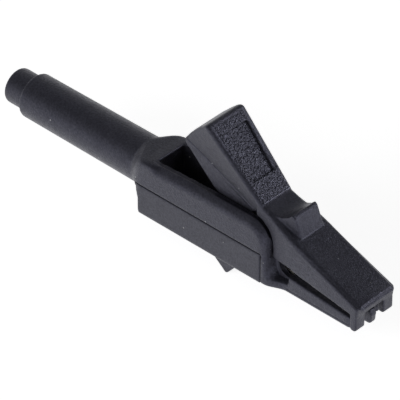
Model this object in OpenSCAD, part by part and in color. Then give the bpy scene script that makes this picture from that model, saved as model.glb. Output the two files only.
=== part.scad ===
// Insulated crocodile clip with a rear sleeve for a 4 mm plug.
// +X runs from the mouth of the socket to the tip of the jaws, +Z is up, and the sleeve's axis is X.

/* [Socket and sleeve] */
// Bore that takes the plug
socket_bore_d = 4; // [3.9:0.05:4.2]
// Depth of the bore
socket_depth = 24; // [18:0.5:26]
// Outer diameter of the contact tube
socket_od = 5.2; // [5:0.1:5.4]
// Diameter of the sleeve where it meets the housing
sleeve_d = 8.5; // [8.2:0.1:9]
// Taper of the sleeve, taken off its diameter at the rear step
sleeve_taper = 0.3; // [0:0.1:0.5]
// Diameter of the stepped-down rear end
nose_d = 6.5; // [6.3:0.1:7]
// Length of the stepped-down rear end
nose_len = 4.5; // [3:0.1:6]
// Length of the whole sleeve, from its mouth to the housing
sleeve_len = 33.7; // [31:0.1:38]

/* [Housing] */
// Width across the side walls
housing_w = 10.4; // [10:0.1:11.2]
// Thickness of a side wall
wall = 2.05; // [1.9:0.05:2.1]
// Depth of the housing below the sleeve's axis
housing_depth = 6.9; // [6.6:0.1:7.4]
// Height of the rear rim above the sleeve's axis
rim_h = 4.3; // [4:0.1:4.5]
// Thickness of the rear rim
rim_t = 0.8; // [0.6:0.1:1.2]
// Distance from the rear of the housing to the hinge
hinge_dx = 24.7; // [24:0.2:26]
// Height of the hinge above the sleeve's axis
hinge_h = 0.8; // [0.6:0.1:1]
// Radius of the walls' round front ends
wall_end_r = 4.3; // [4.1:0.1:4.5]
// Rounding along the outer top edge of the walls
wall_edge_r = 0.9; // [0.5:0.1:1.2]

/* [Bottom cover] */
// Height of the cover's sides
cover_h = 6; // [5:0.2:6.4]
// Thickness of the cover's sides
cover_t = 1; // [0.8:0.1:1.1]
// Thickness of the cover's floor
cover_floor = 1.2; // [1:0.1:1.4]
// How far the cover reaches past the hinge
cover_reach = 2.8; // [2:0.2:3]
// Height of the finger stop under the floor
stop_h = 3; // [2:0.2:3.6]

/* [Lever] */
// Slope of the thumb pad
pad_angle = 43; // [40:1:46]
// Length of the thumb pad
pad_len = 16.1; // [15:0.1:17]
// Width of the pad at the rear
pad_rear_w = 8.9; // [8.2:0.1:9.4]
// Width of the lever at its waist
waist_w = 7.3; // [7:0.1:7.8]
// Depth of the lever's rear box, square to the pad
lever_depth = 9.6; // [9:0.1:10]
// Height of the pad's front edge above the hinge
pad_rise = 6.9; // [6.7:0.1:7.2]
// Depth of the recessed thumb panel
panel_depth = 0.6; // [0.2:0.05:0.8]
// Height of the thumb stop above the jaw's top
fin_h = 3; // [2.2:0.1:3.2]
// Width of the thumb stop
fin_w = 5.6; // [5:0.1:6]
// Thickness of the lever over its contact strip
roof_t = 1.7; // [1.5:0.05:1.8]
// Opening angle at which the lever's sides meet the walls
open_angle = 20; // [16:1:22]

/* [Jaws] */
// Distance from the hinge to the tip of the upper jaw
jaw_len = 24.5; // [23:0.5:27]
// Slope of the upper jaw's top
jaw_slope = 21.6; // [20.6:0.2:22.6]
// Width of the upper jaw behind its waist
jaw_w = 8.6; // [8.2:0.1:9]
// Width of the upper jaw at its tip
jaw_tip_w = 9.2; // [8.8:0.1:9.4]
// Width of the lower jaw
lower_jaw_w = 7.8; // [7.6:0.1:8.2]
// Length of the legs below the upper jaw's tip
leg_len = 4.2; // [3.4:0.1:4.3]
// Rise of the lower jaw's upper edge where it meets the walls
heel_rise = 1.8; // [0:0.1:2]

/* [Contacts] */
// Thickness of the contact strips
strip_t = 0.6; // [0.5:0.05:0.65]
// Width across the toothed part of the contact strips
strip_w = 3.4; // [3:0.1:3.6]
// Width across the lower strip's ears
ear_w = 5.4; // [5.2:0.1:5.5]
// Pitch of the teeth
tooth_pitch = 1; // [0.8:0.1:1.4]
// Height of the teeth
tooth_h = 0.6; // [0.4:0.05:0.7]
// Diameter of the hinge pin
pin_d = 2; // [1.8:0.1:2.2]
// Diameter of the spring's wire
wire_d = 0.6; // [0.5:0.05:0.65]
// Turns of the spring
spring_turns = 3.5; // [2.5:1:3.5]
// Length of the spring's lower leg, from the hinge
spring_leg = 11.5; // [9:0.5:13]
// How far up the pad the spring's upper leg bears
spring_reach = 8.5; // [7:0.5:10]

/* [Clearances] */
// Gap between the lever and each side wall
side_gap = 0.15; // [0.1:0.05:0.2]
// Radial gap of the hinge pin in the upper strip
pin_gap = 0.05; // [0.02:0.01:0.08]
// Gap between pieces that lie in each other
fit_gap = 0.05; // [0.02:0.01:0.08]
// Gap between the meshed teeth
tooth_gap = 0.12; // [0.08:0.02:0.2]

/* [Hidden] */
$fn = 48;
hinge_x = sleeve_len + hinge_dx;
hinge_z = hinge_h;
tip_x = hinge_x + jaw_len;
half_w = housing_w / 2;
trough_half = half_w - wall;
core_half = trough_half - side_gap;
floor_z = -housing_depth;
cover_top = floor_z + cover_h;
cover_front = hinge_x + cover_reach;
rim_lean = 1.85;
flare_len = 3.3;
trough_rear = sleeve_len + rim_lean + rim_t;
front_x = hinge_x + wall_end_r;
pad_x = hinge_x + 1.9;
pad_z = hinge_z + pad_rise;
// front and rear end of the thumb panel, as [distance from the pad's front edge, half width]
panel_ends = [[4.1, 2.4], [13.3, 3.12]];
jaw_half = jaw_w / 2;
lower_half = lower_jaw_w / 2;
strip_half = strip_w / 2;
ear_out = ear_w / 2;
ear_in = ear_out - strip_t - fit_gap;
mouth_start = hinge_x + 8.5;
mouth_slope = 7.2;
mouth_z = hinge_z - 3.15;
lower_end = tip_x - 2.7;
leg_x = tip_x - 2.4;
leg_t = 1.4;
leg_in = 2.3;
tongue_half = 0.65;
strip_floor = floor_z + cover_floor + 0.35;
tang_z = -1.45;
tang_t = 0.9;
tang_half = 1.3;
tongue_x = tip_x - 1.1;
trough_front = hinge_x + 4.6;
tang_end = trough_rear + 5;
rivet_x = trough_rear + 2.6;
rivet_d = 1.4;
spring_r = pin_d / 2 + 0.25 + wire_d / 2;

// Height of the upper jaw's top at x
function jaw_top(x) = pad_z - (x - pad_x) * tan(jaw_slope);
// Half the lever's width at x: the waist opens to the jaw and on to the tip
function jaw_side(x) = x < hinge_x + 8
    ? waist_w / 2 + (jaw_half - waist_w / 2) * ease((x - pad_x) / (hinge_x + 8 - pad_x))
    : jaw_half + (jaw_tip_w / 2 - jaw_half) * (x - hinge_x - 8) / (tip_x - hinge_x - 8);
// Height of the upper jaw's lower edge at x
function jaw_low(x) = x < mouth_start + 2
    ? hinge_z - 1.9 - 0.5 * ease((x - mouth_start) / 2)
    : hinge_z - 2.4 - 1.75 * (x - mouth_start - 2) / (tip_x - mouth_start - 2);
// Height of the lower jaw's upper edge at x: it sweeps up into the walls' round ends
function lower_top(x) = hinge_z - 4.25 - 1.05 * (x - hinge_x - 7.8) / (jaw_len - 11)
    + heel_rise * pow(max(0, 1 - max(0, x - front_x) / 3.2), 2);
// Height of the line on which the teeth meet
function mouth(x) = mouth_z - (x - mouth_start) * tan(mouth_slope);
// Smooth step from 0 to 1
function ease(t) = let (u = min(1, max(0, t))) u * u * (3 - 2 * u);
// Points of an arc in the side view, as [x, z]
function arc(cx, cz, r, a0, a1, n = 8) =
    [for (i = [0:n]) let (a = a0 + (a1 - a0) * i / n) [cx + r * cos(a), cz + r * sin(a)]];
// A point turned about the hinge by an angle, jaw side up
function about_hinge(p, a) = let (x = p[0] - hinge_x, z = p[1] - hinge_z)
    [hinge_x + x * cos(a) - z * sin(a), hinge_z + x * sin(a) + z * cos(a)];
// A place on the lever: s runs back along the pad, n square to it and out
function on_pad(s, y, n) = [
    pad_x - s * cos(pad_angle) + n * sin(pad_angle), y, pad_z + s * sin(pad_angle) + n * cos(pad_angle)
];
// The far half of a ring is the near half turned over
function both_sides(half) = concat(half, [for (i = [len(half) - 1:-1:0]) [half[i][0], -half[i][1], half[i][2]]]);
function middle(ring) = [for (k = [0:2]) [for (p = ring) p[k]] * [for (p = ring) 1] / len(ring)];

// Solid through closed rings of points; each end is a fan, or strips between the near and the far half
module loft(rings, strips = true) {
    n = len(rings[0]);
    m = len(rings);
    points = concat([for (r = rings) each r], [middle(rings[0]), middle(rings[m - 1])]);
    sides = [
        for (j = [0:m - 2], i = [0:n - 1]) each
            let (a = j * n + i, b = j * n + (i + 1) % n) [[a, b, b + n], [a, b + n, a + n]]
    ];
    ends = strips
        ? [
            for (i = [0:n / 2 - 2], e = [0, (m - 1) * n]) each
                let (a = e + i, b = e + i + 1, c = e + n - 2 - i, d = e + n - 1 - i)
                e == 0 ? [[a, d, c], [a, c, b]] : [[a, c, d], [a, b, c]]
        ]
        : [
            for (i = [0:n - 1]) each
                [[(i + 1) % n, i, m * n], [(m - 1) * n + i, (m - 1) * n + (i + 1) % n, m * n + 1]]
        ];
    polyhedron(strips ? [for (r = rings) each r] : points, concat(reversed(sides), ends));
}

// Plate whose outline is drawn in the side view, from y0 to y1
module plate(outline, y0, y1) {
    translate([0, y1, 0])
        rotate([90, 0, 0])
            linear_extrude(y1 - y0) polygon(outline);
}

module both_plates(outline, y0, y1) {
    plate(outline, y0, y1);
    plate(outline, -y1, -y0);
}

// Round bar along Y on the hinge's axis
module hinge_bar(r, y0, y1) {
    translate([hinge_x, y1, hinge_z])
        rotate([90, 0, 0])
            cylinder(r = r, h = y1 - y0);
}

module block(x, y, z) {
    translate([x[0], y[0], z[0]])
        cube([x[1] - x[0], y[1] - y[0], z[1] - z[0]]);
}

// Housing

// Outline of the side walls: a slow curve up from the rear rim, then a round end about the hinge
function wall_outline() = concat(
    [[sleeve_len - wall_edge_r + 1, floor_z + 1.5], [sleeve_len + 1, floor_z], [front_x - 0.15, floor_z]],
    arc(hinge_x, hinge_z, wall_end_r, -14, 90, 13),
    [for (t = [0.2:0.2:0.8]) wall_crest(t)],
    [[sleeve_len + rim_lean - wall_edge_r, rim_h], [sleeve_len - wall_edge_r, -0.8]]
);
function wall_crest(t) = let (x = hinge_x + (sleeve_len + rim_lean - hinge_x) * t)
    [x, rim_h + (hinge_z + wall_end_r - rim_h) * (1 - pow(t, 2.2))];

// Each edge of a closed outline moved inwards by d, kept square to itself
function inset(p, d) = [
    for (i = [0:len(p) - 1])
        let (
            a = p[(i + len(p) - 1) % len(p)], b = p[i], c = p[(i + 1) % len(p)],
            u = unit(b - a), v = unit(c - b),
            turn = u[0] * v[1] - u[1] * v[0], k = abs(turn) < 0.02 ? 0 : (1 - u * v) / turn
        ) b + d * [-u[1] - u[0] * k, u[0] - u[1] * k]
];
function unit(v) = v / norm(v);

// The walls' block, with its long edges rounded
module wall_block() {
    steps = 4;
    outline = wall_outline();
    loft([
        for (side = [-1, 1], i = [0:steps])
            let (
                a = 90 * (side < 0 ? i : steps - i) / steps,
                y = side * (half_w - wall_edge_r * (1 - cos(a))),
                d = wall_edge_r * (1 - sin(a))
            )
            [for (p = inset(outline, d * 0.999)) [p[0], y, max(p[1], floor_z)]]
    ], false);
}

// From the round sleeve to the square rear of the housing: sides first, then the upper corners and the bottom
module flare() {
    steps = 12;
    r = sleeve_d / 2 - 0.01;
    lean = rim_lean / (rim_h + 0.8);
    loft([
        for (i = [0:steps])
            let (
                t = i / steps, u = ease((t - 0.12) / 0.78), v = ease(pow(t, 2.8)), c = pow(ease(t), 1.4),
                w = r + (half_w - 0.02 - r) * u, high = r + (rim_h - 0.03 - r) * u,
                low = r + (housing_depth - 1.3 - r) * v, up_r = r - (r - 0.75) * c, low_r = r - (r - 1.3) * v
            )
            [
                for (p = flare_section(w, high, low, min(up_r, w), min(low_r, w)))
                    [sleeve_len - flare_len + (flare_len + 0.15) * t + lean * pow(t, 4) * max(0, p[1] + 0.8), p[0], p[1]]
            ]
    ]);
}
// Rounded box as seen along the sleeve, as [y, z]
function flare_section(w, high, low, up_r, low_r) = let (n = 7) concat(
    [for (i = [0:n]) let (a = 270 - 90 * i / n) [-w + low_r + low_r * cos(a), -low + low_r + low_r * sin(a)]],
    [for (i = [0:n]) let (a = 180 - 90 * i / n) [-w + up_r + up_r * cos(a), high - up_r + up_r * sin(a)]],
    [for (i = [0:n]) let (a = 90 - 90 * i / n) [w - up_r + up_r * cos(a), high - up_r + up_r * sin(a)]],
    [for (i = [0:n]) let (a = -90 * i / n) [w - low_r + low_r * cos(a), -low + low_r + low_r * sin(a)]]
);

module sleeve() {
    rear_r = (sleeve_d - sleeve_taper) / 2;
    translate([nose_len, 0, 0])
        rotate([0, 90, 0])
            cylinder(r1 = rear_r, r2 = sleeve_d / 2, h = sleeve_len - flare_len + 0.3 - nose_len);
    rotate([0, 90, 0])
        rotate_extrude()
            polygon([
                [0, 0], [nose_d / 2 - 0.4, 0], [nose_d / 2 - 0.12, 0.12], [nose_d / 2, 0.4],
                [nose_d / 2, nose_len - 0.4], [nose_d / 2 + 0.1, nose_len + 0.02],
                [rear_r - 0.3, nose_len + 0.02], [rear_r, nose_len + 0.35], [rear_r, nose_len + 1],
                [0, nose_len + 1]
            ]);
}

// Lower jaw: sides that leave the housing in an S and run on to the tip, with a tongue between the legs
module lower_jaw() {
    difference() {
        loft(concat(
            [for (i = [0:9]) let (x = front_x - 1.5 + 5.2 * i / 9) lower_ring(x, lower_side(x))],
            [for (x = [lower_end - 2, lower_end - 0.8]) lower_ring(x, lower_half)],
            [lower_ring(lower_end - 0.25, lower_half - 0.15), lower_ring(lower_end, lower_half - 0.5)]
        ));
        // open on both sides of the tongue
        for (side = [-1, 1])
            scale([1, side, 1])
                block([lower_end - 1.9, lower_end + 1], [tongue_half, leg_in + 0.2], [floor_z - 1, hinge_z]);
    }
    plate([
        [lower_end - 2.5, floor_z + 0.3], [tongue_x - 0.8, floor_z + 0.02], [tongue_x - 0.25, floor_z + 0.25],
        [tongue_x, floor_z + 2], [tongue_x - 0.4, floor_z + 2.9], [lower_end - 2.5, floor_z + 2.6]
    ], -tongue_half, tongue_half);
}
function lower_side(x) = half_w - 0.03 - (half_w - 0.03 - lower_half) * ease((x - front_x + 0.8) / 4);
function lower_ring(x, w) = both_sides([
    [x, -w + 0.5, floor_z], [x, -w + 0.12, floor_z + 0.14], [x, -w, floor_z + 0.5],
    [x, -w, lower_top(x) - 0.15], [x, -w + 0.15, lower_top(x)]
]);

module housing() {
    color([0.13, 0.13, 0.14])
        difference() {
            union() {
                sleeve();
                flare();
                wall_block();
                lower_jaw();
            }
            // seat of the contact tube, and a slot for its tang
            translate([-1, 0, 0])
                rotate([0, 90, 0])
                    cylinder(d = socket_od + 2 * fit_gap, h = sleeve_len - 1.8);
            block([sleeve_len - 4, trough_rear + 1], [-tang_half - 0.05, tang_half + 0.05], [tang_z - tang_t - 0.05, tang_z + 0.05]);
            // trough, open at the top and, behind the front floor, at the bottom
            plate([
                [trough_rear, cover_top - 5.2], [cover_front - 1, cover_top - 5.2],
                [cover_front - 1, floor_z + cover_floor], [trough_front, floor_z + cover_floor],
                [trough_front, hinge_z + 9], [trough_rear, hinge_z + 9]
            ], -trough_half, trough_half);
            block([trough_rear, cover_front - 1], [-trough_half, trough_half], [floor_z - 1, 0]);
            // channel of the lower strip
            block(
                [trough_front - 1, lower_end - 2.3], [-strip_half - fit_gap, strip_half + fit_gap],
                [strip_floor - fit_gap, hinge_z + 2]
            );
            // rebate that the bottom cover lies in
            cover_space(fit_gap);
        }
}

// Room that the bottom cover takes up
module cover_space(gap) {
    outline = [
        [sleeve_len - 1, floor_z - 1], [cover_front + gap, floor_z - 1],
        [cover_front + gap, cover_top + gap], [sleeve_len - 1, cover_top + gap]
    ];
    both_plates(outline, half_w - cover_t - gap, half_w + 1);
    block([sleeve_len - 1, cover_front + gap], [-half_w - 1, half_w + 1], [floor_z - 1, floor_z + cover_floor + gap]);
    for (side = [-1, 1])
        scale([1, side, 1])
            block([sleeve_len - 0.8 - gap, sleeve_len + 0.5], [4.4 - gap, half_w + 1], [floor_z - 1, cover_top + gap]);
}

// Bottom cover

module bottom_cover() {
    color([0.15, 0.15, 0.155]) {
        difference() {
            // shell with a softened lower edge
            loft([
                for (x = [[sleeve_len - 0.4, 0.3], [sleeve_len - 0.1, 0], [cover_front, 0]])
                    both_sides([
                        [x[0], -half_w + 0.45 + x[1], floor_z + x[1]], [x[0], -half_w + 0.1 + x[1], floor_z + 0.12 + x[1]],
                        [x[0], -half_w + x[1] * 0.5, floor_z + 0.45 + x[1]], [x[0], -half_w + x[1] * 0.5, cover_top]
                    ])
            ]);
            block(
                [sleeve_len - 1, cover_front + 1], [-half_w + cover_t, half_w - cover_t],
                [floor_z + cover_floor, cover_top + 1]
            );
        }
        // rear corners, shaped as the flare
        intersection() {
            flare();
            both_plates([
                [sleeve_len - 0.8, floor_z], [sleeve_len + 0.1, floor_z],
                [sleeve_len + 0.1, cover_top], [sleeve_len - 0.8, cover_top]
            ], 4.4, half_w);
        }
        finger_stop();
    }
}

// Ridge across the floor that the forefinger pulls against
module finger_stop() {
    x = hinge_x - 9.6;
    plate([
        [x, floor_z + 0.5], [x, floor_z], [x + 3.3, floor_z - stop_h + 0.35], [x + 3.7, floor_z - stop_h],
        [x + 4.1, floor_z - stop_h + 0.1], [x + 6.6, floor_z], [x + 6.6, floor_z + 0.5]
    ], -half_w + 1.1, half_w - 1.1);
}

// Lever

// How deep the lever's wide sides reach before they draw in to fit between the walls
function fold_depth(s) = 4.5 + 0.16 * s + 0.5 * pow(max(0, s - 8.5) / 3.3, 2);
function pad_ring(s, cut = 0) =
    let (
        r = 0.65, edge = 0.15, w = waist_w / 2 + (pad_rear_w - waist_w) / 2 * min(1, max(0, s) / pad_len) - cut,
        fold = min(fold_depth(s), lever_depth - 0.3), deep = s > 6 ? lever_depth : 5.2 + (lever_depth - 5.2) * s / 6,
        foot = max(fold + 0.2, deep)
    )
    both_sides(concat(
        [rear_pad(s, -core_half + cut + edge, -foot + cut), rear_pad(s, -core_half + cut * 0.4, -foot + cut * 0.4 + edge)],
        [
            for (f = [0:0.25:0.75])
                rear_pad(s, -core_half - (w - core_half) * f + min(cut, 0.1) * (1 - f), -fold + cut + (fold - r - cut) * f)
        ],
        [for (i = [0:4]) let (a = 90 * i / 4) rear_pad(s, -w + r * (1 - cos(a)), -cut - r * (1 - sin(a)))]
    ));
// The rear end is slightly domed
function rear_pad(s, y, n) = on_pad(s + (s > pad_len - 1 ? 0.4 * sin(180 * min(1, -n / lever_depth)) : 0), y, n);

module lever_rear() {
    loft(concat(
        [for (e = [[0, 0.6], [0.08, 0.36], [0.26, 0.14], [0.6, 0]]) pad_ring(pad_len - e[0], e[1])],
        [for (s = [14.5, 13, 11, 9, 7, 5.5, 4, 2, 0]) pad_ring(s)]
    ));
}

function jaw_ring(x, side = 0, top = 0) =
    let (r = x < hinge_x + 12 ? 0.95 : 0.95 - 0.35 * (x - hinge_x - 12) / (jaw_len - 12), w = jaw_side(x) - side)
    both_sides(concat(
        [[x, -w, jaw_low(x) + (x > leg_x + leg_t ? 1.9 : 0)]],
        [for (i = [0:4]) let (a = 90 * i / 4) [x, -w + r * (1 - cos(a)), jaw_top(x) - top - r * (1 - sin(a))]]
    ));

module lever_jaw() {
    round_w = 1.5;
    round_h = 0.85;
    loft(concat(
        [for (x = [pad_x - 1.3, pad_x, pad_x + 2, pad_x + 4, hinge_x + 8]) jaw_ring(x)],
        [for (x = [mouth_start + 0.7, mouth_start + 1.3, mouth_start + 2, leg_x + leg_t, leg_x + leg_t + 0.2]) jaw_ring(x)],
        [
            for (a = [22, 45, 68, 85])
                let (x = tip_x - round_w * 0.62 * (1 - sin(a)))
                jaw_ring(x, round_w * (1 - cos(a)), round_h * (1 - cos(max(0, 2 * a - 90))))
        ]
    ));
}

// Legs that close over the front of the lower jaw
module legs() {
    low = jaw_low(leg_x) - leg_len + 1.1;
    front = leg_x + leg_t - 0.06;
    both_plates(concat(
        [[leg_x, jaw_low(leg_x) + 1.5], [leg_x, low + 0.5]],
        arc(leg_x + 0.5, low + 0.5, 0.5, 190, 270, 4),
        arc(front - 0.5, low + 0.5, 0.5, 275, 355, 4),
        [[front, jaw_low(leg_x) + 1.5]]
    ), leg_in, jaw_tip_w / 2 - 0.05);
}

// Thumb stop: a hollow ramp from the pad's front edge to a crest, and a steep front
module thumb_stop() {
    crest_x = pad_x + 6.1;
    crest_z = jaw_top(crest_x) + fin_h;
    foot_x = crest_x + 1.75;
    ramp = [
        for (i = [0:6])
            let (t = i / 6, x = pad_x + 0.8 + (crest_x - pad_x - 1.1) * t) [x, jaw_top(x) + 0.02 + fin_h * pow(t, 2.5)]
    ];
    outline = concat(
        [[foot_x + 0.2, jaw_top(foot_x) - 0.5], [crest_x + 0.3, crest_z - 0.15]],
        [for (i = [6:-1:0]) ramp[i]],
        [[pad_x + 0.8, jaw_top(pad_x + 0.8) - 0.5]]
    );
    intersection() {
        plate(outline, -waist_w / 2, waist_w / 2);
        linear_extrude(60, center = true)
            polygon([
                [pad_x, -waist_w / 2 + 0.35], [crest_x + 0.15, -fin_w / 2], [foot_x + 1, -fin_w / 2 + 0.1],
                [foot_x + 1, fin_w / 2 - 0.1], [crest_x + 0.15, fin_w / 2], [pad_x, waist_w / 2 - 0.35]
            ]);
    }
}

module lever() {
    color([0.12, 0.12, 0.13])
        difference() {
            union() {
                lever_rear();
                lever_jaw();
                legs();
                thumb_stop();
            }
            // recessed thumb panel
            translate(on_pad(0, 0, -panel_depth))
                rotate([0, pad_angle, 0])
                    linear_extrude(panel_depth + 1)
                        polygon(concat(
                            [for (e = panel_ends) [-e[0], -e[1]]], reversed([for (e = panel_ends) [-e[0], e[1]]])
                        ));
            lever_room();
            lever_hollow();
        }
}

// Room for the walls' round ends and for the hinge
module lever_room() {
    beside = core_half - 0.05;
    for (side = [-1, 1])
        scale([1, side, 1])
            hinge_bar(wall_end_r + 0.25, beside, half_w + 2);
    hinge_bar(3.1, -half_w, half_w);
    // the wall tops at full opening
    both_plates([for (p = wall_outline()) about_hinge(p, -open_angle - 0.8)], beside, half_w + 2);
    // nothing of the lever is left below the hinge, behind the mouth
    plate([
        [hinge_x - 7, hinge_z - 8], [front_x + 0.3, hinge_z - 8], [front_x + 0.3, hinge_z],
        [hinge_x, hinge_z + 2.9], [hinge_x - 7, hinge_z + 2.9]
    ], -half_w, half_w);
}

// Hollow that takes the upper strip: under the pad, over the hinge and along the jaw
module lever_hollow() {
    under = roof_t;
    w = strip_half + fit_gap;
    pad_under = [for (s = [pad_len - 1.3, 0]) on_pad(s, 0, -under)];
    deep = [for (s = [pad_len - 1.3, 3]) on_pad(s, 0, -lever_depth - 3)];
    plate([
        [pad_under[0][0], pad_under[0][2]], [deep[0][0], deep[0][2]], [deep[1][0], deep[1][2]],
        [hinge_x, hinge_z], [pad_x - 0.6, jaw_top(pad_x - 0.6) - under]
    ], -ear_in - fit_gap, ear_in + fit_gap);
    plate([
        [hinge_x - 2, hinge_z + 3], [hinge_x - 2, hinge_z - 9], [lower_end - 1.4, hinge_z - 9],
        [lower_end - 1.4, jaw_top(lower_end - 1.4) - under], [pad_x - 0.6, jaw_top(pad_x - 0.6) - under]
    ], -w, w);
    plate([
        [hinge_x - 2, hinge_z + 3], [hinge_x - 2, hinge_z - 9], [trough_front, hinge_z - 9],
        [trough_front, jaw_top(trough_front) - under + fit_gap],
        [pad_x - 0.6, jaw_top(pad_x - 0.6) - under + fit_gap]
    ], -ear_in - fit_gap, ear_in + fit_gap);
}

// Socket and its joint to the lower strip

module socket_contact() {
    color([0.78, 0.76, 0.7])
        difference() {
            union() {
                rotate([0, 90, 0])
                    cylinder(d = socket_od, h = sleeve_len - 4);
                block([socket_depth + 2, tang_end], [-tang_half, tang_half], [tang_z - tang_t, tang_z]);
            }
            translate([-1, 0, 0])
                rotate([0, 90, 0])
                    cylinder(d = socket_bore_d, h = socket_depth + 1);
            translate([rivet_x, 0, tang_z - 3])
                cylinder(d = rivet_d + 2 * fit_gap, h = 6);
        }
}

module contact_rivet() {
    low = tang_z - tang_t - fit_gap - strip_t;
    color([0.72, 0.7, 0.66])
        translate([rivet_x, 0, 0]) {
            translate([0, 0, low - fit_gap])
                cylinder(d = rivet_d, h = tang_z - low + 2 * fit_gap);
            translate([0, 0, low - fit_gap - 0.5])
                cylinder(d = rivet_d + 1.1, h = 0.5);
            translate([0, 0, tang_z + fit_gap])
                cylinder(d = rivet_d + 1, h = 0.45);
        }
}

// Contact strips

// Row of teeth along the mouth; up points them at the upper jaw
function teeth(x0, x1, up) = let (n = floor((x1 - x0) / tooth_pitch))
    [
        for (i = [0:n - 1], k = [0:1])
            let (x = x0 + (i + k / 2) * tooth_pitch)
            [x, mouth(x) + (up ? -1 : 1) * (tooth_gap / 2) + (k == 0 ? -1 : 1) * tooth_h / 2]
    ];

// Sides of a strip: wide at the ears, drawn in to the toothed part
module strip_sides(outline, out) {
    x0 = hinge_x - 8;
    x1 = hinge_x + 2.4;
    x2 = trough_front - 0.2;
    intersection() {
        plate(outline, -out, out);
        for (side = [-1, 1])
            scale([1, side, 1])
                translate([0, 0, -20])
                    linear_extrude(40)
                        polygon([
                            [x0, out - strip_t], [x1, out - strip_t], [x2, strip_half - strip_t],
                            [tip_x, strip_half - strip_t], [tip_x, strip_half], [x2, strip_half], [x1, out], [x0, out]
                        ]);
    }
}
// Web of a strip in the top view, from wide to narrow
module web_plan(x0, x1, out) {
    a = hinge_x + 2.4;
    b = trough_front - 0.2;
    translate([0, 0, -20])
        linear_extrude(40)
            polygon([
                [x0, -out], [a, -out], [b, -strip_half], [x1, -strip_half],
                [x1, strip_half], [b, strip_half], [a, out], [x0, out]
            ]);
}

module lower_jaw_contact() {
    z0 = strip_floor;
    rear = rivet_x - 1.6;
    high = tang_z - tang_t - fit_gap;
    first = mouth_start + 1.2;
    last = lower_end - 2.4;
    ear = 2.1;
    color([0.76, 0.76, 0.74])
        difference() {
            union() {
                // rear tab under the tang, and a bend down to the floor
                plate([
                    [rear, high - strip_t], [rivet_x + 2, high - strip_t], [rivet_x + 4.2, z0],
                    [hinge_x - 4, z0], [hinge_x - 4, z0 + strip_t], [rivet_x + 4.5, z0 + strip_t],
                    [rivet_x + 2.3, high], [rear, high]
                ], -ear_in, ear_in);
                intersection() {
                    block([hinge_x - 5, last], [-ear_out, ear_out], [z0, z0 + strip_t]);
                    web_plan(hinge_x - 6, tip_x, ear_out);
                }
                // ears for the pin, then the toothed edges
                strip_sides(concat(
                    [[hinge_x - 5, z0], [last, z0]],
                    [[last, mouth(last) - tooth_h]],
                    reversed(teeth(first, last - 0.2, true)),
                    [[first - 0.4, mouth(first) - 1], [trough_front, z0 + 0.9], [hinge_x + 2.4, z0 + 0.9]],
                    arc(hinge_x, hinge_z, ear, -20, 200, 16),
                    [[hinge_x - 3, z0 + 1.2], [hinge_x - 5, z0 + 1]]
                ), ear_out);
            }
            hinge_bar(pin_d / 2 + 0.02, -half_w, half_w);
            translate([rivet_x, 0, -8])
                cylinder(d = rivet_d + 2 * fit_gap, h = 10);
        }
}
function reversed(list) = [for (i = [len(list) - 1:-1:0]) list[i]];

module upper_jaw_contact() {
    first = mouth_start + 1.2;
    last = lower_end - 2;
    t = strip_t;
    under = roof_t + fit_gap;
    ear = 2.1;
    tail = on_pad(11, 0, -under);
    tail_low = on_pad(11, 0, -under - t);
    bend = [pad_x - 0.6, jaw_top(pad_x - 0.6) - under];
    joint = trough_front - 0.5;
    function web(x) = jaw_top(x) - under;
    color([0.74, 0.74, 0.73])
        difference() {
            union() {
                // tail under the pad, a bend over the hinge and the web in the jaw
                plate([
                    [tail[0], tail[2]], [tail_low[0], tail_low[2]], [bend[0] - 0.4, bend[1] - t * 1.1],
                    [joint, web(joint) - t], [joint, web(joint)], bend
                ], -ear_in, ear_in);
                intersection() {
                    plate([
                        [joint - 0.5, web(joint - 0.5) - t], [last, web(last) - t],
                        [last, web(last)], [joint - 0.5, web(joint - 0.5)]
                    ], -ear_in, ear_in);
                    web_plan(hinge_x, tip_x, ear_in);
                }
                // ears on the pin, inside those of the lower strip, then the toothed edges
                strip_sides(concat(
                    arc(hinge_x, hinge_z, ear, 170, 320, 12),
                    [[hinge_x + 4.5, hinge_z + 0.4], [first - 0.7, mouth(first) + 1.4]],
                    teeth(first, last - 0.2, false),
                    [[last, mouth(last) + tooth_h], [last, web(last) - t / 2]],
                    [[joint, web(joint) - t / 2], [bend[0], bend[1] - t / 2], [hinge_x - 3, bend[1] - 0.5]]
                ), ear_in);
            }
            hinge_bar(pin_d / 2 + pin_gap, -half_w, half_w);
        }
}

// Hinge pin, headed at one end and closed over at the other
module hinge_pin() {
    shank = ear_out + 0.03;
    color([0.7, 0.7, 0.7]) {
        hinge_bar(pin_d / 2, -shank, shank);
        hinge_bar(pin_d / 2 + 0.65, shank, shank + 0.3);
        hinge_bar(pin_d / 2 + 0.4, -shank - 0.3, -shank);
    }
}

// Torsion spring on the pin: its lower leg bears on the strip's floor, its upper leg on the tail
module torsion_spring() {
    turns = spring_turns;
    span = 2 * (ear_in - strip_t - 0.1) - wire_d;
    steps = 14 * turns;
    a0 = -90;
    low_end = [hinge_x - spring_leg, strip_floor + strip_t + wire_d / 2 + 0.05];
    tail = on_pad(spring_reach, 0, -roof_t - strip_t - fit_gap - wire_d / 2 - 0.15);
    coil = [
        for (i = [0:steps])
            let (a = a0 + 360 * turns * i / steps)
            [hinge_x + spring_r * cos(a), -span / 2 + span * i / steps, hinge_z + spring_r * sin(a)]
    ];
    path = concat(
        [[low_end[0], -span / 2, low_end[1]], [hinge_x - 1.2, -span / 2, hinge_z - spring_r - 0.1]],
        coil,
        [[hinge_x - 1.2, span / 2, hinge_z + spring_r + 0.35], [tail[0], span / 2, tail[2]]]
    );
    color([0.62, 0.62, 0.64])
        wire(path, wire_d);
}

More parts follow.
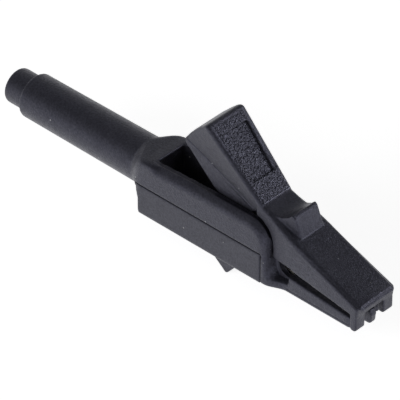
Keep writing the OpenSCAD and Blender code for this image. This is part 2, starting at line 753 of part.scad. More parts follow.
// Round wire along a path that never runs along Y
module wire(path, d) {
    around = 8;
    last = len(path) - 1;
    loft([
        for (j = [0:last])
            let (
                t = unit(path[min(j + 1, last)] - path[max(j - 1, 0)]),
                side = unit(cross([0, 1, 0], t)), up = cross(t, side)
            )
            [for (k = [0:around - 1]) let (a = 360 * k / around) path[j] + d / 2 * (cos(a) * side + sin(a) * up)]
    ]);
}

housing();
bottom_cover();
lever();
socket_contact();
contact_rivet();
lower_jaw_contact();
upper_jaw_contact();
hinge_pin();
torsion_spring();
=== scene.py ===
"""Looks of the crocodile clip: moulded shells, grained thumb pad, plated contacts, light and camera.

Names with the ending _MM are in millimetres, and everything given to Blender is in metres.
"""

import math

import bmesh
import bpy
import numpy as np
from mathutils import Matrix, Vector, noise


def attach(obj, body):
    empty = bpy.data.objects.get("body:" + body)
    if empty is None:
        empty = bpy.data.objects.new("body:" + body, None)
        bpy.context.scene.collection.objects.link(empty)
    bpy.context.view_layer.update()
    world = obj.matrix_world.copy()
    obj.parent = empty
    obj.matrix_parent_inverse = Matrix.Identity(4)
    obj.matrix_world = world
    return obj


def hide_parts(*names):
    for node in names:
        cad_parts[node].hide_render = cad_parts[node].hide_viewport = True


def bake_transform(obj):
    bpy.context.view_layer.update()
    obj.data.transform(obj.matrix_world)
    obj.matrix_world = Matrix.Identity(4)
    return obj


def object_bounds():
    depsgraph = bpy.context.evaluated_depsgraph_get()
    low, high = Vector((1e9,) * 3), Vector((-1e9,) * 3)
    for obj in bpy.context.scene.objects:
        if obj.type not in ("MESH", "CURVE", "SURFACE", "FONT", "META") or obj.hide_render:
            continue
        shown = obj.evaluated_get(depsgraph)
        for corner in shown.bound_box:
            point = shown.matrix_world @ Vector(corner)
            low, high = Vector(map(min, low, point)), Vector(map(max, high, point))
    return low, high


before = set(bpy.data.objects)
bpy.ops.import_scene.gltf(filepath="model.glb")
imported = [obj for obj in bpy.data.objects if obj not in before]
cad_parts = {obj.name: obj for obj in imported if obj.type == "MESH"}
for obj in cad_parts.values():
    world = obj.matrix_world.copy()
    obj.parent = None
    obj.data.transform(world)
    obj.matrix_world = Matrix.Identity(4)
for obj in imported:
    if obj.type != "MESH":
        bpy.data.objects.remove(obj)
cad_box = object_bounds()

MM = 0.001
BASE = "clip_base"
LEVER = "clip_lever"

# The camera as it was solved from the photograph
CAMERA_AZIMUTH = 43.315
CAMERA_ELEVATION = 37.773
CAMERA_DISTANCE_MM = 829.27
CAMERA_TARGET_MM = (43.94, 0.0, 0.0)
CAMERA_OFFSET_MM = (-0.730, -1.264)
FOCAL_PX = 5001.0
FRAME_PX = 400.0
SENSOR_MM = 36.0

# The hinge in the side view
HINGE_MM = (58.4, 0.8)

# The flanks go in from the walls to the lower jaw from x to x
FLANK_MM = (61.9, 65.9)
# The hollow in them at the start of the mouth: from x to x, and the length of its start and its end
HEEL_MM = (62.0, 66.6)
HEEL_ENDS_MM = (1.4, 0.8)
# Its lowest height, how far above that it is full, its depth, the most it takes of the flank, its inner end
HEEL_LOW_MM = -5.6
HEEL_RISE_MM = 3.0
HEEL_DEPTH_MM = 2.4
HEEL_SHARE = 0.85
HEEL_INNER_MM = 2.6
# How far its upper side drops beyond the walls, where that starts and is full, and how far above the lowest
HEEL_DROP_MM = 1.3
HEEL_DROP_X_MM = (63.0, 64.0)
HEEL_DROP_RISE_MM = 2.4
# The walls: distance of their inner and outer sides from the middle, and the radius of their round ends
WALL_MM = (3.3, 5.2)
WALL_END_MM = 4.3
# Their soft shoulder: how far down it reaches, and how far it goes in and down at the top
SHOULDER_MM = 1.9
SHOULDER_IN_MM = 0.65
SHOULDER_DOWN_MM = 0.4
# Where it starts and is full: along the clip, in height, and in height for its way down
SHOULDER_X_MM = (36.0, 38.0)
SHOULDER_Z_MM = (-3.0, 0.5)
SHOULDER_DOWN_Z_MM = (0.8, 3.5)
# The radius of the walls' inner top edge
INNER_EDGE_MM = 1.3
# The upper jaw's top edges: where their rounding starts and is full, half the jaw's width, and the radius
JAW_EDGE_MM = (67.3, 68.4)
JAW_HALF_MM = 4.3
JAW_EDGE_R_MM = 1.1
# The front of the jaw's tip, and the radius of its edges
TIP_MM = 82.8
TIP_EDGE_R_MM = 1.2
# Half the width across the lower jaw
LOWER_JAW_HALF_MM = 3.9
# The line along the lower jaw's lower edge: from x to x, at this height
EDGE_LINE_MM = (66.0, 79.5, -6.1)
# Fine lines in the mouldings, which are cut where faces look sideways by at least this much
LINE_DEPTH_MM = 0.13
LINE_HALF_MM = 0.1
LINE_SIDEWAYS = 0.5
# The least move that keeps a mesh fine there: by a line, by the hollow, by a rounded edge
FINE_LINE_MM = 0.01
FINE_HOLLOW_MM = 0.05
FINE_EDGE_MM = 0.02
# Heights of an edge are taken in steps of this length, and nothing is as low as the lowest
HEIGHT_STEP_MM = 0.5
LOWEST_MM = -10.0

# The thumb pad: its front edge in the side view and its slope
PAD_FRONT_MM = (60.3, 7.7)
PAD_ANGLE = 43.0
# What belongs to it: within this height of it, and facing out of it by at least this much
PAD_NEAR_MM = 0.8
PAD_FACING = 0.75
# How far past the grain it stays crisp, across and along
CRISP_PAST_MM = (0.1, 0.3)
# The fold line on the lever's sides: depth below the pad at its front, slope, and its ends along the pad
FOLD_MM = 2.65
FOLD_SLOPE = 0.36
FOLD_ENDS_MM = (0.5, 16.5)
# The sides it is on: at least this far from the middle, and facing sideways by at least this much
FOLD_SIDE_MM = 2.5
FOLD_SIDEWAYS = 0.4
# The recessed panel in the pad: distance from the front edge and half width, at its front and its rear
PANEL_FRONT_MM = (4.1, 2.4)
PANEL_REAR_MM = (13.3, 3.12)
PANEL_DEPTH_MM = 0.6
# How far the smooth strip beside the panel reaches into it, and what is low enough to be its floor
STRIP_LAP_MM = 0.05
PANEL_FLOOR_MM = -0.4
# The grained area, which stands a little proud of the smooth border
GRAIN_LENGTH_MM = 15.0
GRAIN_HALF_MM = 3.35
GRAIN_STEP_MM = 0.06
GRAIN_SIZE_MM = 0.3
GRAIN_HEIGHT_MM = 0.14
# Finer grain on it: how many times finer, and how strong
FINER_GRAIN = (2.1, 0.5)
# The length over which the area starts and ends, and the share of grain that gives a face its material
GRAIN_FADE_MM = 0.12
GRAINED_SHARE = 0.3
# How much further the grained floor of the panel comes up
PANEL_RISE_MM = 0.12
# The thin flat ridge along the front of the grained area
RIDGE_WIDTH_MM = 0.3
RIDGE_FADE_MM = 0.15
RIDGE_HEIGHT_MM = 0.06

# The sides closed over the notch between the pad's skirt and the waist
NOTCH_FILLS_MM = (
    ((57.6, -3.1, 5.3), (59.7, -2.3, 6.8)),
    ((57.6, 2.3, 5.3), (59.7, 3.1, 6.8)),
)

# Rounds of smoothing for all of a moulding, before its crisp parts are told from the rest
FIRST_ROUNDS = 2
# Size of the remeshing grid, rounds of smoothing and number of triangles kept, for each moulding
VOXEL_MM = {"housing": 0.15, "bottom_cover": 0.15, "lever": 0.1}
ROUNDS = {"housing": 10, "bottom_cover": 2, "lever": 20}
TRIANGLES = {"housing": 60000, "bottom_cover": 16000, "lever": 70000}
# Metal pieces, in degrees: faces that count as one, and edges that are broken
FLAT_ANGLE = 0.5
EDGE_ANGLE = 35.0

# How bright the surroundings are for light that is scattered
AMBIENT = 0.12
# How bright the ceiling is for light that is mirrored: over the camera and beyond the object
CEILING_NEAR = 0.08
CEILING_FAR = 0.4
# Parts of a direction between which it changes: across from near to far, and up from horizon to ceiling
CEILING_Y = (-0.7, 0.3)
HORIZON_Z = (0.1, 0.5)
# How bright the horizon beyond the tips is, where it is 1 elsewhere, and where along the clip it gets so
HORIZON_BEYOND = 2.0
BEYOND_X = (0.3, 0.8)
# A window that the thumb pad mirrors: azimuth, elevation, brightness, and the cosines at its rim and inside
WINDOW = (134.0, 33.0, 9.0)
WINDOW_RIM = (0.972, 0.996)
# What the floor gives to the camera, on top of the light on it, and what it gives to mirrored rays
FLOOR_LIFT = 0.86
MIRRORED_LIFT = 1.1
FLOOR_HALF = 1.5
FLOOR_GREYS = ((0.80, 0.80, 0.80), (0.82, 0.82, 0.82))
# A painted pool of light on the floor beyond the tips, which only mirrored rays see: how bright it glows,
# and where it starts and is full
POOL_LIFT = 1.6
POOL_MM = (100.0, 150.0)
FLOOR_GAP_MM = 0.02


def direction(azimuth, elevation):
    a, e = math.radians(azimuth), math.radians(elevation)
    return Vector((math.sin(a) * math.cos(e), -math.cos(a) * math.cos(e), math.sin(e)))


# Pieces


def linked(name, data):
    """A new object with this data, in the scene."""
    obj = bpy.data.objects.new(name, data)
    bpy.context.scene.collection.objects.link(obj)
    return obj


def modifier(obj, kind, **settings):
    """Adds a modifier with these settings."""
    added = obj.modifiers.new(kind.lower(), kind)
    for key, value in settings.items():
        setattr(added, key, value)


def evaluated(obj):
    """The object with its modifiers applied to its mesh."""
    bpy.context.view_layer.update()
    graph = bpy.context.evaluated_depsgraph_get()
    mesh = bpy.data.meshes.new_from_object(obj.evaluated_get(graph))
    obj.modifiers.clear()
    old, obj.data = obj.data, mesh
    bpy.data.meshes.remove(old)
    return obj


def in_millimetres(name, node):
    """A new object that holds the CAD node's closed mesh, in millimetres."""
    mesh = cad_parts[node].data.copy()
    mesh.materials.clear()
    mesh.transform(Matrix.Scale(1 / MM, 4))
    work = bmesh.new()
    work.from_mesh(mesh)
    bmesh.ops.remove_doubles(work, verts=work.verts, dist=1e-4)
    work.to_mesh(mesh)
    work.free()
    return linked(name, mesh)


def in_place(obj, node, slot, *materials):
    """Turns the piece back to metres, shades it smooth, gives it these materials and hides the CAD node
    that it stands for.
    """
    obj.data.transform(Matrix.Scale(MM, 4))
    obj.data.shade_smooth()
    obj.data.materials.clear()
    for material in materials:
        obj.data.materials.append(material)
    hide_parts(node)
    return obj


def grouped(obj, name, chosen):
    """A vertex group of the chosen points."""
    group = obj.vertex_groups.new(name=name)
    group.add(np.flatnonzero(chosen).tolist(), 1.0, "REPLACE")
    return name


def with_blocks(obj, blocks):
    """Adds blocks, each as its lowest and highest corner, which the remesh then joins to the moulding."""
    work = bmesh.new()
    work.from_mesh(obj.data)
    for low, high in blocks:
        low, high = Vector(low), Vector(high)
        place = Matrix.LocRotScale((low + high) / 2, None, high - low)
        bmesh.ops.create_cube(work, size=1.0, matrix=place)
    work.to_mesh(obj.data)
    work.free()


def moulded(name, node, crisp=None, shape=None, blocks=()):
    """A moulding with soft radii, but for the points that crisp returns.

    shape works on the fine mesh and returns the points that stay fine.
    """
    obj = in_millimetres(name, node)
    with_blocks(obj, blocks)
    modifier(obj, "REMESH", mode="VOXEL", voxel_size=VOXEL_MM[node])
    modifier(obj, "SMOOTH", factor=0.5, iterations=FIRST_ROUNDS)
    evaluated(obj)
    soft = ~crisp(obj.data) if crisp else np.ones(len(obj.data.vertices), bool)
    modifier(obj, "SMOOTH", factor=0.5, iterations=ROUNDS[node], vertex_group=grouped(obj, "soft", soft))
    evaluated(obj)
    kept = shape(obj.data) if shape else np.zeros(len(obj.data.vertices), bool)
    share = TRIANGLES[node] / (2 * len(obj.data.polygons))
    thinned = grouped(obj, "thinned", ~kept)
    modifier(obj, "DECIMATE", decimate_type="COLLAPSE", ratio=share, vertex_group=thinned)
    return evaluated(obj)


def machined(name, node, width):
    """A metal piece with its sharp edges broken."""
    obj = in_millimetres(name, node)
    work = bmesh.new()
    work.from_mesh(obj.data)
    bmesh.ops.dissolve_limit(work, angle_limit=math.radians(FLAT_ANGLE), verts=work.verts, edges=work.edges)
    work.to_mesh(obj.data)
    work.free()
    edges = math.radians(EDGE_ANGLE)
    modifier(obj, "BEVEL", width=width, segments=2, limit_method="ANGLE", angle_limit=edges)
    modifier(obj, "WEIGHTED_NORMAL", keep_sharp=True)
    return evaluated(obj)


def smooth_step(low, high, value):
    """0 below low, 1 above high, and smooth between them."""
    t = np.clip((value - low) / (high - low), 0.0, 1.0)
    return t * t * (3 - 2 * t)


def grained_area(along, across):
    """1 on the grained area and 0 off it: all of the pad but the smooth strip on the panel's far side."""
    area = (
        smooth_step(0.0, GRAIN_FADE_MM, along)
        * smooth_step(0.0, GRAIN_FADE_MM, GRAIN_LENGTH_MM - along)
        * smooth_step(0.0, GRAIN_FADE_MM, GRAIN_HALF_MM - np.abs(across))
    )
    t = (along - PANEL_FRONT_MM[0]) / (PANEL_REAR_MM[0] - PANEL_FRONT_MM[0])
    panel_half = PANEL_FRONT_MM[1] + (PANEL_REAR_MM[1] - PANEL_FRONT_MM[1]) * t
    strip = (t > 0) & (t < 1) & (across > panel_half - STRIP_LAP_MM)
    return np.where(strip, 0.0, area)


def groove(off):
    """Depth of a fine line at this distance from it."""
    return LINE_DEPTH_MM * np.exp(-((off / LINE_HALF_MM) ** 2))


def rows(elements, attribute):
    """That attribute of a mesh's points or faces, one row of three numbers each."""
    values = np.empty(len(elements) * 3)
    elements.foreach_get(attribute, values)
    return values.reshape(-1, 3)


def on_pad(places, normals):
    """How far each place is along the pad, across it and out of it, and how much of the grain it has."""
    a = math.radians(PAD_ANGLE)
    out = np.array((math.sin(a), 0.0, math.cos(a)))
    back = np.array((-math.cos(a), 0.0, math.sin(a)))
    from_front = places - np.array((PAD_FRONT_MM[0], 0.0, PAD_FRONT_MM[1]))
    along, across, height = from_front @ back, places[:, 1], from_front @ out
    near = (np.abs(height + PANEL_DEPTH_MM / 2) < PAD_NEAR_MM) & (normals @ out > PAD_FACING)
    return along, across, height, np.where(near, grained_area(along, across), 0.0)


def crisp_pad(mesh):
    """The points of the thumb pad and of the panel in it."""
    along, across, height, _ = on_pad(rows(mesh.vertices, "co"), rows(mesh.vertices, "normal"))
    past_sides, past_ends = CRISP_PAST_MM
    near = np.abs(height + PANEL_DEPTH_MM / 2) < PAD_NEAR_MM
    between_sides = np.abs(across) < GRAIN_HALF_MM + past_sides
    return near & between_sides & (along > -past_ends) & (along < GRAIN_LENGTH_MM + past_ends)


def rounded(below, inside, radius):
    """How far down and how far in a point moves when the edge near it is rounded.

    below and inside are its distances from the two faces that meet in the edge.
    """
    a, b = np.clip(radius - below, 0.0, radius), np.clip(radius - inside, 0.0, radius)
    shrink = 1 - radius / np.maximum(np.hypot(a, b), radius)
    return a * shrink, b * shrink


def heights(x, z, chosen):
    """The height of the highest of the chosen points, at each point's place along the clip."""
    steps = np.floor(x[chosen] / HEIGHT_STEP_MM).astype(int)
    tops = np.full(steps.max() + 1, LOWEST_MM)
    np.maximum.at(tops, steps, z[chosen])
    centres = (np.arange(len(tops)) + 0.5) * HEIGHT_STEP_MM
    found = tops > LOWEST_MM
    return np.interp(x, centres[found], tops[found])


# In the functions below x, y and z are views of the columns of co, so a change of them moves the points.


def soften_shoulders(co):
    """Rounds both top edges of the walls, and their round front ends, further than the CAD does."""
    x, y, z = co.T
    wall = (x > SHOULDER_X_MM[0]) & (np.abs(y) > WALL_MM[0]) & (z > SHOULDER_Z_MM[0])
    from_hinge = np.hypot(x - HINGE_MM[0], z - HINGE_MM[1])
    below = np.where(x < HINGE_MM[0], heights(x, z, wall) - z, WALL_END_MM - from_hinge)
    fade = smooth_step(*SHOULDER_X_MM, x) * smooth_step(*SHOULDER_Z_MM, z)
    near = np.where(wall, np.clip(1 - below / SHOULDER_MM, 0.0, 1.0), 0.0) * fade
    share = np.clip((np.abs(y) - WALL_MM[0]) / (WALL_MM[1] - WALL_MM[0]), 0.0, 1.0)
    shoulder_down = SHOULDER_DOWN_MM * share * share * near * smooth_step(*SHOULDER_DOWN_Z_MM, z)
    to_top = np.where(wall, np.maximum(below, 0.0), INNER_EDGE_MM)
    down, out = rounded(to_top, np.abs(y) - WALL_MM[0], INNER_EDGE_MM)
    down *= fade
    ahead = np.maximum(x - HINGE_MM[0], 0.0) / np.maximum(from_hinge, 1.0)
    x -= down * ahead
    y += np.sign(y) * (out * fade - SHOULDER_IN_MM * share * near * near)
    z -= down * np.sqrt(1 - ahead * ahead) + shoulder_down


def hollow_heel(co):
    """Scoops the flanks out where the mouth starts, and returns where."""
    x, y, z = co.T
    flank = WALL_MM[1] - (WALL_MM[1] - LOWER_JAW_HALF_MM) * smooth_step(*FLANK_MM, x)
    start, end = HEEL_MM
    along = smooth_step(start, start + HEEL_ENDS_MM[0], x) * smooth_step(end, end - HEEL_ENDS_MM[1], x)
    depth = along * HEEL_DEPTH_MM * smooth_step(HEEL_LOW_MM, HEEL_LOW_MM + HEEL_RISE_MM, z)
    room = flank - HEEL_INNER_MM
    share = np.clip((np.abs(y) - HEEL_INNER_MM) / room, 0.0, 1.0)
    inwards = share * np.minimum(depth, HEEL_SHARE * room)
    low = smooth_step(HEEL_LOW_MM, HEEL_LOW_MM + HEEL_DROP_RISE_MM, z)
    y -= np.sign(y) * inwards
    z -= HEEL_DROP_MM * (along * smooth_step(*HEEL_DROP_X_MM, x) * low)
    return inwards > FINE_HOLLOW_MM


def housing_details(mesh):
    """Softens the walls, hollows the heel and cuts the line along the lower jaw's lower edge."""
    co, normals = rows(mesh.vertices, "co"), rows(mesh.vertices, "normal")
    x, y, z = co.T
    start, end, level = EDGE_LINE_MM
    on_line = (x > start) & (x < end) & (np.abs(normals[:, 1]) > LINE_SIDEWAYS)
    line = np.where(on_line, groove(z - level), 0.0)
    y -= np.sign(y) * line
    soften_shoulders(co)
    scooped = hollow_heel(co)
    mesh.vertices.foreach_set("co", co.ravel())
    mesh.update()
    return (line > FINE_LINE_MM) | scooped


def soften_jaw(co):
    """Rounds the long top edges of the upper jaw and the edges of its tip, and returns where."""
    x, y, z = co.T
    on_jaw = x > JAW_EDGE_MM[0]
    below = np.where(on_jaw, np.maximum(heights(x, z, on_jaw) - z, 0.0), JAW_EDGE_R_MM)
    down, inwards = rounded(below, JAW_HALF_MM - np.abs(y), JAW_EDGE_R_MM)
    share = smooth_step(*JAW_EDGE_MM, x)
    y -= np.sign(y) * inwards * share
    z -= down * share
    behind = np.maximum(TIP_MM - x, 0.0)
    aside, back = rounded(JAW_HALF_MM - np.abs(y), behind, TIP_EDGE_R_MM)
    down_tip, back_tip = rounded(below, behind, TIP_EDGE_R_MM)
    y -= np.sign(y) * aside
    x -= np.maximum(back, back_tip)
    z -= down_tip
    return (down + inwards) * share + back + back_tip > FINE_EDGE_MM


def lever_details(mesh):
    """Raises the grain of the thumb pad, cuts the fold line along the lever's sides and rounds the jaw."""
    co, normals = rows(mesh.vertices, "co"), rows(mesh.vertices, "normal")
    along, across, height, area = on_pad(co, normals)
    fold = FOLD_MM + FOLD_SLOPE * along
    sideways = (np.abs(normals[:, 1]) > FOLD_SIDEWAYS) & (np.abs(across) > FOLD_SIDE_MM)
    on_side = (along > FOLD_ENDS_MM[0]) & (along < FOLD_ENDS_MM[1]) & sideways
    line = np.where(on_side, groove(height + fold), 0.0)
    co[:, 1] -= np.sign(co[:, 1]) * line
    edges = soften_jaw(co)
    a = math.radians(PAD_ANGLE)
    out = np.array((math.sin(a), 0.0, math.cos(a)))
    finer, strength = FINER_GRAIN
    for i in np.flatnonzero(area > 0):
        spot = Vector((along[i], across[i], height[i])) / GRAIN_SIZE_MM
        rise = noise.noise(spot) + strength * noise.noise(spot * finer)
        behind_ridge = smooth_step(RIDGE_WIDTH_MM, RIDGE_WIDTH_MM + RIDGE_FADE_MM, along[i])
        grain = RIDGE_HEIGHT_MM + behind_ridge * (GRAIN_HEIGHT_MM * rise - RIDGE_HEIGHT_MM)
        low = PANEL_RISE_MM if height[i] < PANEL_FLOOR_MM else 0.0
        co[i] += out * (area[i] * (GRAIN_STEP_MM + grain) + low)
    mesh.vertices.foreach_set("co", co.ravel())
    mesh.update()
    return (area > 0) | (line > FINE_LINE_MM) | edges


# Materials


class Nodes:
    """The node tree of a new material or world, filled in by short calls."""

    def __init__(self, owner):
        owner.use_nodes = True
        self.owner = owner
        self.tree = owner.node_tree
        self.tree.nodes.clear()

    def add(self, kind, inputs=None, **settings):
        """A new node. Each input is a value, or the output of another node."""
        node = self.tree.nodes.new(kind)
        for key, value in settings.items():
            setattr(node, key, value)
        for key, value in (inputs or {}).items():
            if isinstance(value, bpy.types.NodeSocket):
                self.tree.links.new(value, node.inputs[key])
            else:
                node.inputs[key].default_value = value
        return node

    def math(self, operation, first, second):
        """The result of a calculation with two values."""
        return self.add("ShaderNodeMath", {0: first, 1: second}, operation=operation).outputs[0]

    def place(self):
        """The place on the object, in metres."""
        return self.add("ShaderNodeTexCoord").outputs["Object"]

    def noise(self, size_mm, detail=2.0, roughness=0.5):
        """Noise with features of about that size."""
        inputs = {"Vector": self.place(), "Scale": 1 / (size_mm * MM)}
        inputs |= {"Detail": detail, "Roughness": roughness}
        return self.add("ShaderNodeTexNoise", inputs).outputs["Fac"]

    def spread(self, value, low, high, start=0.3, end=0.7):
        """The value, from start to end, mapped to low and high."""
        inputs = {"Value": value, "From Min": start, "From Max": end, "To Min": low, "To Max": high}
        return self.add("ShaderNodeMapRange", inputs).outputs["Result"]

    def bump(self, height, depth_mm, under=None):
        """A bumpy normal, on top of another one where that is given."""
        inputs = {"Height": height, "Distance": depth_mm * MM}
        if under:
            inputs["Normal"] = under
        return self.add("ShaderNodeBump", inputs).outputs["Normal"]

    def blend(self, factor, first, second):
        """A colour between two, each a colour or the output of another node."""
        mix = self.add("ShaderNodeMix", data_type="RGBA")
        self.tree.links.new(factor, mix.inputs["Factor"])
        for name, value in (("A", first), ("B", second)):
            socket = [s for s in mix.inputs if s.name == name and s.type == "RGBA"][0]
            if isinstance(value, bpy.types.NodeSocket):
                self.tree.links.new(value, socket)
            else:
                socket.default_value = (*value, 1.0)
        return [s for s in mix.outputs if s.type == "RGBA"][0]

    def dust(self, apart_mm, radius_mm):
        """1 on a few specks of dust, 0 elsewhere."""
        inputs = {"Vector": self.place(), "Scale": 1 / (apart_mm * MM)}
        near = self.add("ShaderNodeTexVoronoi", inputs).outputs["Distance"]
        return self.math("LESS_THAN", near, radius_mm / apart_mm)

    def finish(self, shader, output="ShaderNodeOutputMaterial"):
        """Joins the shader to the output, and returns the material or world."""
        self.tree.links.new(shader, self.add(output).inputs["Surface"])
        return self.owner


# Dust: its colour, how far apart its specks are, and their radius
DUST = (0.42, 0.42, 0.43)
DUST_APART_MM = 3.0
DUST_RADIUS_MM = 0.13
# The bluish tint of what the plastic mirrors
SHEEN = (0.72, 0.73, 1.0, 1.0)


def plastic(name, low, high, grain_mm, depth_mm, rough):
    """Moulded plastic: cloudy charcoal with a fine grain, slight waves and a few specks of dust."""
    n = Nodes(bpy.data.materials.new(name))
    cloud = n.spread(n.noise(3.0, 3.0), 0.0, 1.0)
    colour = n.blend(n.dust(DUST_APART_MM, DUST_RADIUS_MM), n.blend(cloud, low, high), DUST)
    fine = n.bump(n.noise(grain_mm, 3.0, 0.6), depth_mm)
    shader = n.add(
        "ShaderNodeBsdfPrincipled",
        {
            "Base Color": colour,
            "Roughness": n.spread(n.noise(0.9, 3.0), rough - 0.04, rough + 0.06),
            "Normal": n.bump(n.noise(2.2, 1.0), 0.008, fine),
            "Specular IOR Level": n.spread(n.noise(0.35, 2.0), 0.38, 0.72),
            "Specular Tint": SHEEN,
        },
    )
    return n.finish(shader.outputs["BSDF"])


def metal(name, low, high, rough, grain_mm):
    """Plated or drawn metal with a fine satin grain and faint stains."""
    n = Nodes(bpy.data.materials.new(name))
    stain = n.spread(n.noise(1.6, 3.0), 0.0, 1.0)
    shader = n.add(
        "ShaderNodeBsdfPrincipled",
        {
            "Base Color": n.blend(stain, low, high),
            "Roughness": n.spread(n.noise(0.5, 2.0), rough - 0.06, rough + 0.08),
            "Normal": n.bump(n.noise(grain_mm, 2.0), 0.004),
            "Metallic": 1.0,
        },
    )
    return n.finish(shader.outputs["BSDF"])


CHARCOAL = plastic("charcoal_plastic", (0.022, 0.022, 0.029), (0.030, 0.030, 0.038), 0.32, 0.08, 0.42)
PAD_CHARCOAL = plastic("grained_plastic", (0.022, 0.022, 0.030), (0.034, 0.034, 0.044), 0.24, 0.09, 0.2)
RIDGE_CHARCOAL = plastic("ridge_plastic", (0.022, 0.022, 0.030), (0.034, 0.034, 0.044), 0.3, 0.06, 0.2)
COVER_CHARCOAL = plastic("cover_plastic", (0.024, 0.024, 0.028), (0.031, 0.031, 0.036), 0.4, 0.03, 0.42)
NICKEL = metal("nickel_plate", (0.60, 0.58, 0.54), (0.68, 0.66, 0.61), 0.3, 0.12)
BRASS = metal("plated_brass", (0.64, 0.58, 0.45), (0.72, 0.66, 0.53), 0.25, 0.15)
STEEL = metal("satin_steel", (0.46, 0.46, 0.47), (0.55, 0.55, 0.56), 0.35, 0.1)
WIRE = metal("drawn_wire", (0.33, 0.33, 0.35), (0.42, 0.42, 0.44), 0.35, 0.08)


def make_mouldings():
    """The housing, its bottom cover and the lever, whose grain and ridge have materials of their own."""
    housing = moulded("housing_shell", "housing", shape=housing_details)
    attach(in_place(housing, "housing", "insulation", CHARCOAL), BASE)
    cover = moulded("bottom_cover_shell", "bottom_cover")
    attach(in_place(cover, "bottom_cover", "insulation", COVER_CHARCOAL), BASE)
    lever = moulded("lever_shell", "lever", crisp_pad, lever_details, NOTCH_FILLS_MM)
    faces = lever.data.polygons
    along, _, _, area = on_pad(rows(faces, "center"), rows(faces, "normal"))
    slots = np.where(area > GRAINED_SHARE, np.where(along < RIDGE_WIDTH_MM, 2, 1), 0)
    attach(in_place(lever, "lever", "insulation", CHARCOAL, PAD_CHARCOAL, RIDGE_CHARCOAL), LEVER)
    faces.foreach_set("material_index", slots.astype(np.int32))


def make_metal():
    """The socket, rivet, pin and contact strips."""
    pieces = [
        ("socket_tube", "socket_contact", 0.12, "brass", BRASS, BASE),
        ("rivet", "contact_rivet", 0.1, "brass", BRASS, BASE),
        ("pin", "hinge_pin", 0.1, "steel", STEEL, BASE),
        ("lower_contact", "lower_jaw_contact", 0.06, "nickel", NICKEL, BASE),
        ("upper_contact", "upper_jaw_contact", 0.06, "nickel", NICKEL, LEVER),
    ]
    for name, node, width, slot, material, body in pieces:
        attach(in_place(machined(name, node, width), node, slot, material), body)


def make_spring():
    """The torsion spring's coil, subdivided once, with its place baked into its mesh."""
    spring = in_millimetres("spring_wire", "torsion_spring")
    modifier(spring, "SUBSURF", levels=1)
    in_place(evaluated(spring), "torsion_spring", "spring_steel", WIRE)
    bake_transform(spring)


# Stage


def mirrored_rays(n):
    """1 for glossy and transmission rays, 0 for others."""
    path = n.add("ShaderNodeLightPath").outputs
    return n.math("MAXIMUM", path["Is Glossy Ray"], path["Is Transmission Ray"])


def camera_rays(n):
    """1 for rays from the camera, 0 for others."""
    return n.add("ShaderNodeLightPath").outputs["Is Camera Ray"]


def make_floor():
    """Pale floor that keeps the shadow and reads as the white background."""
    z = cad_box[0].z - FLOOR_GAP_MM * MM
    corners = [(x * FLOOR_HALF, y * FLOOR_HALF, z) for x, y in ((-1, -1), (1, -1), (1, 1), (-1, 1))]
    mesh = bpy.data.meshes.new("floor")
    mesh.from_pydata(corners, [], [(0, 1, 2, 3)])
    floor = linked("floor", mesh)
    n = Nodes(bpy.data.materials.new("pale_floor"))
    cloud = n.spread(n.noise(40.0), 0.0, 1.0)
    diffuse = n.add("ShaderNodeBsdfDiffuse", {"Color": n.blend(cloud, *FLOOR_GREYS)})
    beyond = n.add("ShaderNodeSeparateXYZ", {"Vector": n.place()}).outputs["X"]
    # Painted pool of light: the floor glows brighter beyond the tips, for mirrored rays only
    pool = n.spread(beyond, MIRRORED_LIFT, POOL_LIFT, start=POOL_MM[0] * MM, end=POOL_MM[1] * MM)
    seen = n.math("MULTIPLY", camera_rays(n), FLOOR_LIFT)
    lift = n.math("ADD", n.math("MULTIPLY", mirrored_rays(n), pool), seen)
    glow = n.add("ShaderNodeEmission", {"Color": (1, 1, 1, 1), "Strength": lift})
    both = n.add("ShaderNodeAddShader", {0: diffuse.outputs[0], 1: glow.outputs[0]})
    floor.data.materials.append(n.finish(both.outputs[0]))


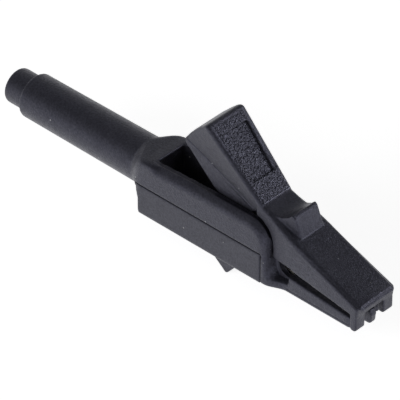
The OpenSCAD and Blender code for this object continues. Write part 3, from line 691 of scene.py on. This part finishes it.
def make_world():
    """White for the camera; in reflections white at the horizon, with a dark ceiling and a soft window."""
    world = bpy.data.worlds.new("studio")
    bpy.context.scene.world = world
    n = Nodes(world)
    towards = n.add("ShaderNodeTexCoord").outputs["Generated"]
    part = n.add("ShaderNodeSeparateXYZ", {"Vector": towards}).outputs
    ceiling = n.spread(part["Y"], CEILING_NEAR, CEILING_FAR, *CEILING_Y)
    horizon = n.spread(part["X"], 1.0, HORIZON_BEYOND, *BEYOND_X)
    sky = n.spread(part["Z"], horizon, ceiling, *HORIZON_Z)
    azimuth, elevation, brightness = WINDOW
    both = {0: towards, 1: direction(azimuth, elevation)}
    aim = n.add("ShaderNodeVectorMath", both, operation="DOT_PRODUCT").outputs["Value"]
    window = n.spread(aim, 0.0, brightness, *WINDOW_RIM)
    unseen = n.spread(mirrored_rays(n), AMBIENT, n.math("ADD", sky, window), start=0.0, end=1.0)
    strength = n.spread(camera_rays(n), unseen, 1.0, start=0.0, end=1.0)
    back = n.add("ShaderNodeBackground", {"Color": (1, 1, 1, 1), "Strength": strength})
    n.finish(back.outputs[0], "ShaderNodeOutputWorld")


def softbox(name, azimuth, elevation, distance, size, power):
    """A square lamp that looks at the object."""
    light = bpy.data.lights.new(name, "AREA")
    light.shape = "SQUARE"
    light.size = size
    light.energy = power
    lamp = linked(name, light)
    towards = direction(azimuth, elevation)
    lamp.location = Vector(CAMERA_TARGET_MM) * MM + towards * distance
    lamp.rotation_mode = "QUATERNION"
    lamp.rotation_quaternion = (-towards).to_track_quat("-Z", "Y")
    lamp.visible_camera = False
    lamp.visible_glossy = False


def make_camera():
    """The camera that took the photograph."""
    data = bpy.data.cameras.new("photo_camera")
    data.lens = FOCAL_PX / FRAME_PX * SENSOR_MM
    data.sensor_width = SENSOR_MM
    data.clip_start = 0.01
    data.clip_end = 10.0
    camera = linked("photo_camera", data)
    back = direction(CAMERA_AZIMUTH, CAMERA_ELEVATION)
    right = Vector((0, 0, 1)).cross(back).normalized()
    up = back.cross(right)
    place = Vector(CAMERA_TARGET_MM) + back * CAMERA_DISTANCE_MM
    place += right * CAMERA_OFFSET_MM[0] + up * CAMERA_OFFSET_MM[1]
    camera.location = place * MM
    camera.rotation_mode = "QUATERNION"
    camera.rotation_quaternion = (-back).to_track_quat("-Z", "Y")
    bpy.context.scene.camera = camera


make_mouldings()
make_metal()
make_spring()
make_floor()
make_world()
softbox("key", azimuth=-22, elevation=12, distance=1.2, size=0.9, power=7.0)
make_camera()
bpy.context.scene.view_settings.view_transform = "Standard"
